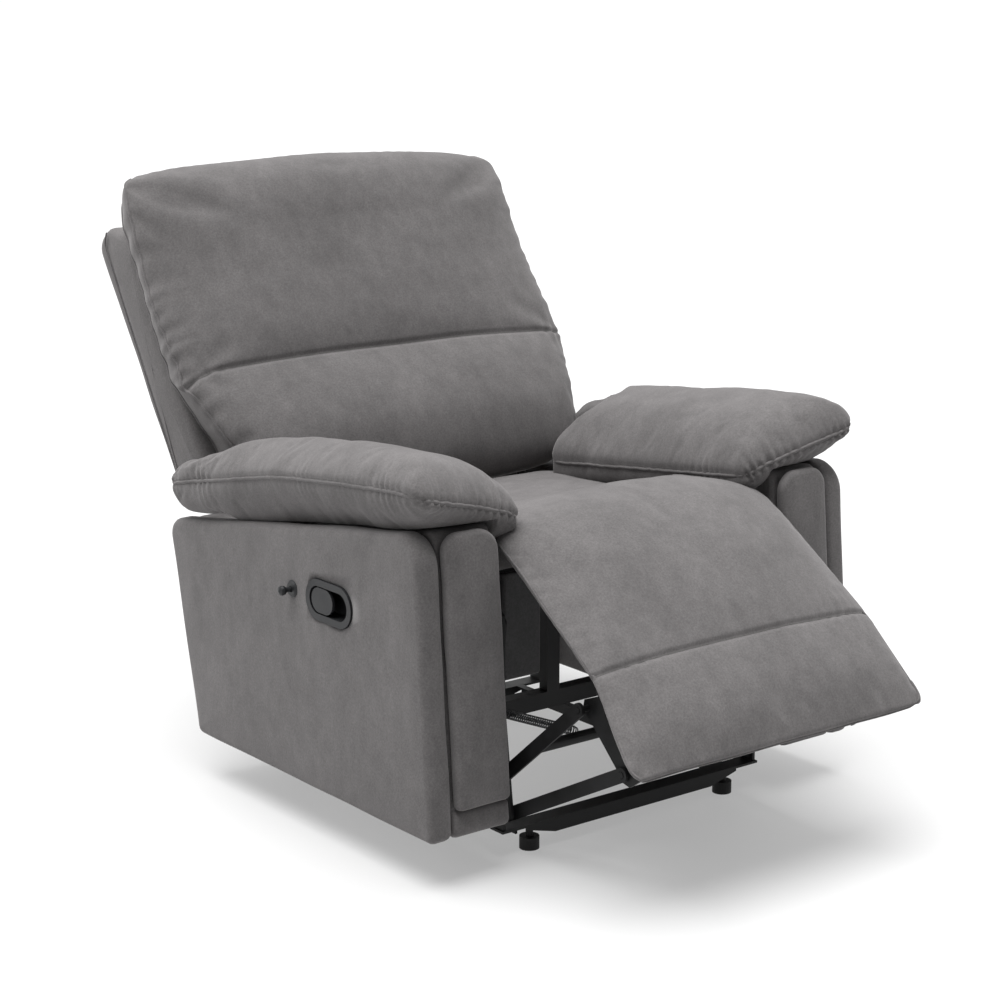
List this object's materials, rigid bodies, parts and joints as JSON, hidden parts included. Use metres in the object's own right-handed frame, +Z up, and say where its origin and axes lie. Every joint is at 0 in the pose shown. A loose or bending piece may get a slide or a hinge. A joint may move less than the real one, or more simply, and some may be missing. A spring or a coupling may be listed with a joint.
{
  "type": "recliner armchair",
  "caption": "Upholstered reclining armchair with a chaise pad that runs on to a scissor-link footrest, pillow arms and a side release lever.",
  "frame": {"origin": "on the floor under the middle of the chair's box", "axes": "+X to the chair's left hand side, -Y the way the chair faces, +Z up"},
  "size_m": [0.917, 1.3654, 0.99],
  "materials": {
    "suede": "brushed microfibre suede",
    "dark_suede": "brushed microfibre suede in shade",
    "wood": "unfinished plywood",
    "black_steel": "semi-gloss black powder coat",
    "spring_steel": "oiled wire",
    "charcoal_plastic": "fine texture",
    "rubber": "matt"
  },
  "bodies": {
    "chair_base": {"base_front_bar": "black_steel", "base_rear_bar": "black_steel", "base_rail_right": "black_steel", "base_rail_left": "black_steel", "foot_front_right": "rubber", "foot_rear_right": "rubber", "foot_front_left": "rubber", "foot_rear_left": "rubber", "side_plate_right": "black_steel", "side_plate_left": "black_steel", "mechanism_crossbar": "black_steel", "rear_cross_tube": "black_steel", "extension_spring_right": "spring_steel", "extension_spring_left": "spring_steel", "seat_front_rail": "wood", "seat_rear_rail": "wood", "seat_side_rail_right": "wood", "seat_side_rail_left": "wood", "seat_spring_1": "spring_steel", "seat_spring_2": "spring_steel", "seat_spring_3": "spring_steel", "seat_cushion": "suede", "chaise_pad": "suede", "front_wing_right": "dark_suede", "front_wing_left": "dark_suede", "arm_outer_panel_right": "suede", "arm_inner_panel_right": "suede", "arm_front_panel_right": "suede", "arm_top_and_rear_right": "suede", "arm_front_pad_right": "suede", "arm_pillow_right": "suede", "arm_outer_panel_left": "suede", "arm_inner_panel_left": "suede", "arm_front_panel_left": "suede", "arm_top_and_rear_left": "suede", "arm_front_pad_left": "suede", "arm_pillow_left": "suede", "handle_bezel": "charcoal_plastic", "lever_pin": "black_steel", "knob_escutcheon": "charcoal_plastic", "release_cable": "rubber"},
    "footrest": {"footrest_pad": "suede", "footrest_board": "wood", "footrest_bracket_right": "black_steel", "footrest_bracket_left": "black_steel"},
    "swing_links_front": {"swing_link_front_right": "black_steel", "swing_link_front_left": "black_steel"},
    "lift_links_upper": {"lift_link_upper_right": "black_steel", "lift_link_upper_left": "black_steel", "lift_cross_tube": "black_steel"},
    "swing_links_rear": {"swing_link_rear_right": "black_steel", "swing_link_rear_left": "black_steel"},
    "lift_links_lower": {"lift_link_lower_right": "black_steel", "lift_link_lower_left": "black_steel"},
    "back": {"back_frame": "suede", "back_cushion": "suede", "back_bracket_right": "black_steel", "back_bracket_left": "black_steel"},
    "release_lever": {"release_lever": "charcoal_plastic"},
    "pull_knob": {"pull_knob": "charcoal_plastic"}
  },
  "joints": [
    {"name": "footrest_swing", "type": "hinge", "parent": "chair_base", "child": "footrest", "pos_m": [0, -0.545, 0.557], "axis": [-1, 0, 0], "range_deg": [-43, 38], "deforming": ["chaise_pad", "extension_spring_right", "extension_spring_left"]},
    {"name": "front_swing_link_pivot", "type": "hinge", "parent": "chair_base", "child": "swing_links_front", "pos_m": [0, -0.33, 0.373], "axis": [-1, 0, 0], "range_deg": [-43, 38]},
    {"name": "upper_lift_link_pivot", "type": "hinge", "parent": "swing_links_front", "child": "lift_links_upper", "pos_m": [0, -0.2917, 0.0949], "axis": [-1, 0, 0], "range_deg": [-38, 43]},
    {"name": "rear_swing_link_pivot", "type": "hinge", "parent": "chair_base", "child": "swing_links_rear", "pos_m": [0, -0.285, 0.42], "axis": [-1, 0, 0], "range_deg": [-43, 38]},
    {"name": "lower_lift_link_pivot", "type": "hinge", "parent": "swing_links_rear", "child": "lift_links_lower", "pos_m": [0, -0.33, 0.062], "axis": [-1, 0, 0], "range_deg": [-38, 43]},
    {"name": "back_recline", "type": "hinge", "parent": "chair_base", "child": "back", "pos_m": [0, 0.305, 0.42], "axis": [-1, 0, 0], "range_deg": [-18, 22]},
    {"name": "lever_pull", "type": "hinge", "parent": "chair_base", "child": "release_lever", "pos_m": [-0.436, -0.101, 0.393], "axis": [0, 0, -1], "range_deg": [0, 35], "stiffness_Nm_per_rad": 0.5},
    {"name": "knob_pull", "type": "slide", "parent": "chair_base", "child": "pull_knob", "axis": [-1, 0, 0], "range_m": [0, 0.008], "stiffness_N_per_m": 400}
  ],
  "couplings": [
    {"joint": "front_swing_link_pivot", "follows": "footrest_swing", "ratio": 1},
    {"joint": "upper_lift_link_pivot", "follows": "footrest_swing", "ratio": -1},
    {"joint": "rear_swing_link_pivot", "follows": "footrest_swing", "ratio": 1},
    {"joint": "lower_lift_link_pivot", "follows": "footrest_swing", "ratio": -1}
  ]
}
